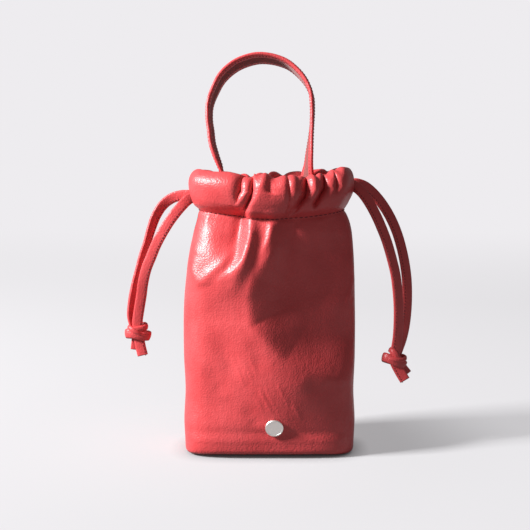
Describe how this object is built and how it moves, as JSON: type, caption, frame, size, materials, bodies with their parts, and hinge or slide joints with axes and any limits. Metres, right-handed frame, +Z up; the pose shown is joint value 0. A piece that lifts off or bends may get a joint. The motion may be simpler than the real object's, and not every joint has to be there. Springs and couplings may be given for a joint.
{
  "type": "kinchaku drawstring pouch",
  "caption": "Small boxed leather drawstring pouch with a gathered casing, a strap handle out of its mouth, knotted drawstrings at both sides and a metal stud.",
  "frame": {"origin": "on the floor, under the middle of the base", "axes": "+Z up, +X to the right seen from the front, and the front with the stud faces -Y"},
  "size_m": [0.2175, 0.0804, 0.3013],
  "materials": {
    "leather": "glossy, fine-grained, dyed red",
    "stud_metal": "polished, nickel-plated"
  },
  "bodies": {
    "root": {"front_panel": "leather", "back_panel": "leather", "handle": "leather", "left_drawstring": "leather", "right_drawstring": "leather", "stud": "stud_metal", "stud_washer": "stud_metal"}
  },
  "joints": []
}
